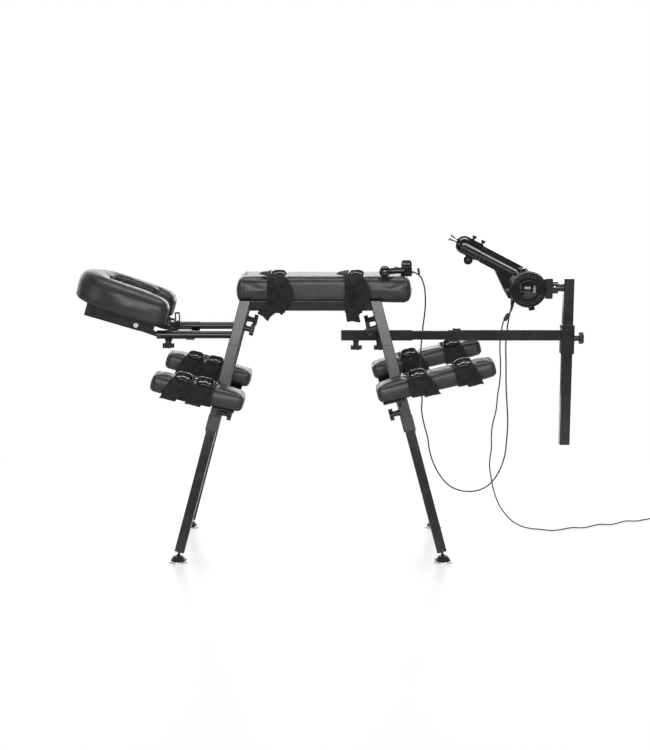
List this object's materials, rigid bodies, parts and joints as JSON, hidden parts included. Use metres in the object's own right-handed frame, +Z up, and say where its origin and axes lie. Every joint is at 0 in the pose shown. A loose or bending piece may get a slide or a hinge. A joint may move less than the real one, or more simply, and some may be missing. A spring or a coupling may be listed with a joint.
{
  "type": "padded restraint bench with reciprocating drive arm",
  "caption": "Adult product: padded restraint bench with face cradle, strapped limb pads, telescopic legs and a reciprocating drive arm on a boom, without its explicit attachment.",
  "frame": {"origin": "on the floor, at the centre of the bench's outline without its cables", "axes": "+Z up, +X from the face cradle towards the drive post, -Y to the left of a person lying face down"},
  "size_m": [1.8583, 0.5444, 0.9442],
  "materials": {
    "black_powder_coat": "satin black powder coat",
    "black_gloss_coat": "semi-gloss black powder coat",
    "black_plastic": "moulded matte black",
    "gloss_black": "glossy black moulded plastic",
    "grey_plastic": "mid grey moulded",
    "black_leatherette": "soft black leatherette with fine grain",
    "black_nylon": "matte woven nylon webbing",
    "plywood": "black-stained plywood",
    "zinc": "bright zinc plate",
    "chrome": "polished chrome",
    "motor_steel": "plain steel can",
    "bronze": "sintered bronze",
    "black_cable": "matte black cable jacket",
    "foot_rubber": "black dome with a pale metal rim"
  },
  "bodies": {
    "bench": {"leg_stubs": "black_powder_coat", "bench_rails": "black_powder_coat", "bench_crossbars": "black_powder_coat", "outer_leg_tubes": "black_powder_coat", "leg_collars": "black_plastic", "frame_knobs": "black_plastic", "pad_board": "plywood", "bench_pad": "black_leatherette", "limb_pad_brackets": "black_powder_coat", "forearm_pad_left": "black_leatherette", "forearm_pad_right": "black_leatherette", "shin_pad_left": "black_leatherette", "shin_pad_right": "black_leatherette", "straps": "black_nylon", "strap_buckles": "gloss_black", "boom_socket": "black_powder_coat", "cradle_rails": "black_powder_coat", "control_body": "gloss_black", "control_cable": "black_cable", "power_cable": "black_cable", "inline_connector": "black_plastic", "cable_coil": "black_cable", "power_adapter": "black_plastic"},
    "cradle_slide": {"cradle_carriage": "black_powder_coat"},
    "cradle_head": {"cradle_tray": "black_powder_coat", "cradle_board": "plywood", "cradle_pad": "black_leatherette", "cradle_pivot_bolts": "zinc"},
    "boom": {"inner_boom": "black_powder_coat", "outer_boom": "black_powder_coat"},
    "post": {"post": "black_powder_coat"},
    "swivel": {"drive_yoke": "black_powder_coat"},
    "drive_arm": {"drive_shell_left": "gloss_black", "drive_shell_right": "gloss_black", "nose_cap": "gloss_black", "rod_bushings": "bronze", "motor_cover": "gloss_black", "gear_motor": "motor_steel"},
    "crank": {"crank": "zinc"},
    "drive_rod": {"drive_rod": "chrome", "rod_coupler": "chrome"},
    "dial": {"control_dial": "gloss_black"},
    "button": {"control_button": "grey_plastic"},
    "lower_leg_front_left": {"lower_leg_front_left": "black_gloss_coat"},
    "foot_front_left": {"foot_front_left": "foot_rubber"},
    "leg_knob_front_left": {"leg_knob_front_left": "black_plastic"},
    "lower_leg_front_right": {"lower_leg_front_right": "black_gloss_coat"},
    "foot_front_right": {"foot_front_right": "foot_rubber"},
    "leg_knob_front_right": {"leg_knob_front_right": "black_plastic"},
    "lower_leg_rear_left": {"lower_leg_rear_left": "black_gloss_coat"},
    "foot_rear_left": {"foot_rear_left": "foot_rubber"},
    "leg_knob_rear_left": {"leg_knob_rear_left": "black_plastic"},
    "lower_leg_rear_right": {"lower_leg_rear_right": "black_gloss_coat"},
    "foot_rear_right": {"foot_rear_right": "foot_rubber"},
    "leg_knob_rear_right": {"leg_knob_rear_right": "black_plastic"},
    "cradle_knob_left": {"cradle_knob_left": "black_plastic"},
    "cradle_knob_right": {"cradle_knob_right": "black_plastic"},
    "boom_knob_front": {"boom_knob_front": "black_plastic"},
    "boom_knob_rear": {"boom_knob_rear": "black_plastic"},
    "post_knob": {"post_knob": "black_plastic"}
  },
  "joints": [
    {"name": "leg_height_front_left", "type": "slide", "parent": "bench", "child": "lower_leg_front_left", "axis": [0.2569, 0.1211, 0.9588], "range_m": [-0.06, 0.07]},
    {"name": "foot_swivel_front_left", "type": "hinge", "parent": "lower_leg_front_left", "child": "foot_front_left", "pos_m": [-0.45175, -0.18377, 0.016], "axis": [0, 0, 1], "continuous": true},
    {"name": "leg_knob_turn_front_left", "type": "hinge", "parent": "bench", "child": "leg_knob_front_left", "pos_m": [-0.33868, -0.13046, 0.438], "axis": [0.9664, -0.0322, -0.2549], "range_deg": [0, 360]},
    {"name": "leg_height_front_right", "type": "slide", "parent": "bench", "child": "lower_leg_front_right", "axis": [0.2569, -0.1211, 0.9588], "range_m": [-0.06, 0.07]},
    {"name": "foot_swivel_front_right", "type": "hinge", "parent": "lower_leg_front_right", "child": "foot_front_right", "pos_m": [-0.45175, 0.18377, 0.016], "axis": [0, 0, 1], "continuous": true},
    {"name": "leg_knob_turn_front_right", "type": "hinge", "parent": "bench", "child": "leg_knob_front_right", "pos_m": [-0.33868, 0.13046, 0.438], "axis": [0.9664, 0.0322, -0.2549], "range_deg": [0, 360]},
    {"name": "leg_height_rear_left", "type": "slide", "parent": "bench", "child": "lower_leg_rear_left", "axis": [-0.2569, 0.1211, 0.9588], "range_m": [-0.06, 0.07]},
    {"name": "foot_swivel_rear_left", "type": "hinge", "parent": "lower_leg_rear_left", "child": "foot_rear_left", "pos_m": [0.32175, -0.18377, 0.016], "axis": [0, 0, 1], "continuous": true},
    {"name": "leg_knob_turn_rear_left", "type": "hinge", "parent": "bench", "child": "leg_knob_rear_left", "pos_m": [0.20868, -0.13046, 0.438], "axis": [-0.9664, -0.0322, -0.2549], "range_deg": [0, 360]},
    {"name": "leg_height_rear_right", "type": "slide", "parent": "bench", "child": "lower_leg_rear_right", "axis": [-0.2569, -0.1211, 0.9588], "range_m": [-0.06, 0.07]},
    {"name": "foot_swivel_rear_right", "type": "hinge", "parent": "lower_leg_rear_right", "child": "foot_rear_right", "pos_m": [0.32175, 0.18377, 0.016], "axis": [0, 0, 1], "continuous": true},
    {"name": "leg_knob_turn_rear_right", "type": "hinge", "parent": "bench", "child": "leg_knob_rear_right", "pos_m": [0.20868, 0.13046, 0.438], "axis": [-0.9664, 0.0322, -0.2549], "range_deg": [0, 360]},
    {"name": "cradle_reach", "type": "slide", "parent": "bench", "child": "cradle_slide", "axis": [1, 0, 0], "range_m": [-0.06, 0]},
    {"name": "cradle_tilt", "type": "hinge", "parent": "cradle_slide", "child": "cradle_head", "pos_m": [-0.573, 0, 0.684], "axis": [0, 1, 0], "range_deg": [-15, 12]},
    {"name": "cradle_knob_turn_left", "type": "hinge", "parent": "cradle_slide", "child": "cradle_knob_left", "pos_m": [-0.479, -0.097, 0.658], "axis": [0, 0, -1], "range_deg": [0, 360]},
    {"name": "cradle_knob_turn_right", "type": "hinge", "parent": "cradle_slide", "child": "cradle_knob_right", "pos_m": [-0.479, 0.097, 0.658], "axis": [0, 0, -1], "range_deg": [0, 360]},
    {"name": "boom_reach", "type": "slide", "parent": "bench", "child": "boom", "axis": [1, 0, 0], "range_m": [-0.1, 0.1], "deforming": ["control_cable", "power_cable", "inline_connector"]},
    {"name": "boom_knob_turn_front", "type": "hinge", "parent": "bench", "child": "boom_knob_front", "pos_m": [0.069, 0, 0.644], "axis": [0, 0, -1], "range_deg": [0, 360]},
    {"name": "boom_knob_turn_rear", "type": "hinge", "parent": "bench", "child": "boom_knob_rear", "pos_m": [0.138, 0, 0.644], "axis": [0, 0, -1], "range_deg": [0, 360]},
    {"name": "post_height", "type": "slide", "parent": "boom", "child": "post", "axis": [0, 0, 1], "range_m": [-0.05, 0.22], "deforming": ["control_cable", "power_cable", "inline_connector"]},
    {"name": "post_knob_turn", "type": "hinge", "parent": "boom", "child": "post_knob", "pos_m": [0.697, 0, 0.633], "axis": [1, 0, 0], "range_deg": [0, 360]},
    {"name": "arm_roll", "type": "hinge", "parent": "post", "child": "swivel", "pos_m": [0.64, 0, 0.784], "axis": [1, 0, 0], "range_deg": [-45, 45], "deforming": ["control_cable", "power_cable", "inline_connector"]},
    {"name": "arm_tilt", "type": "hinge", "parent": "swivel", "child": "drive_arm", "pos_m": [0.572, 0, 0.784], "axis": [0, 1, 0], "range_deg": [-30, 45], "deforming": ["control_cable", "power_cable", "inline_connector"]},
    {"name": "crank_turn", "type": "hinge", "parent": "drive_arm", "child": "crank", "pos_m": [0.572, 0, 0.784], "axis": [0, -1, 0], "range_deg": [0, 90]},
    {"name": "rod_stroke", "type": "slide", "parent": "drive_arm", "child": "drive_rod", "axis": [-0.8878, 0, 0.4602], "range_m": [0, 0.03546]},
    {"name": "dial_turn", "type": "hinge", "parent": "bench", "child": "dial", "pos_m": [0.215, -0.042, 0.86], "axis": [0, 0, 1], "range_deg": [0, 270]},
    {"name": "button_press", "type": "slide", "parent": "bench", "child": "button", "axis": [0, 0, -1], "range_m": [0, 0.0015], "stiffness_N_per_m": 400}
  ],
  "couplings": [
    {"joint": "rod_stroke", "follows": "crank_turn", "m_per_rad": 0.022508}
  ]
}
